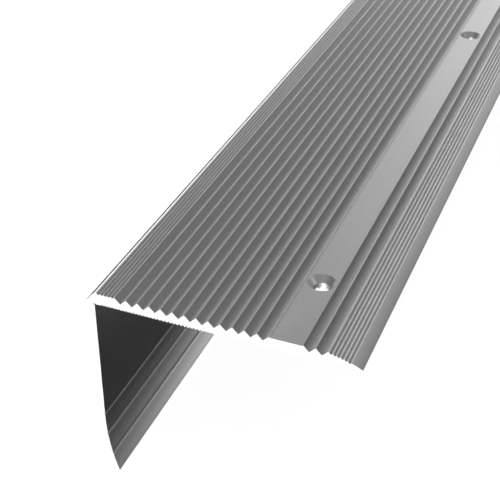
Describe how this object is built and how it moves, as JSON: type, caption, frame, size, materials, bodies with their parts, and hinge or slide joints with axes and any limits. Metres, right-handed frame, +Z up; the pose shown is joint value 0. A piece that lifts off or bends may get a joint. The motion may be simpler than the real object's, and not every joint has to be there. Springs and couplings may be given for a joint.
{
  "type": "stair nosing strip",
  "caption": "Extruded aluminium stair nosing: an L-shaped strip with a ribbed tread, a smooth channel of countersunk screw holes and a leg whose toe curls inwards.",
  "frame": {"origin": "inner corner of the angle, where the tread's underside meets the leg's inner face, halfway along the strip", "axes": "+X from the leg back over the step, +Y along the strip, +Z up out of the ribbed tread"},
  "size_m": [0.0704, 1.2, 0.0586],
  "materials": {
    "aluminium": "satin anodised natural aluminium with fine lengthwise drawing lines, bright saw-cut ends"
  },
  "bodies": {
    "root": {"nosing_profile": "aluminium"}
  },
  "joints": []
}
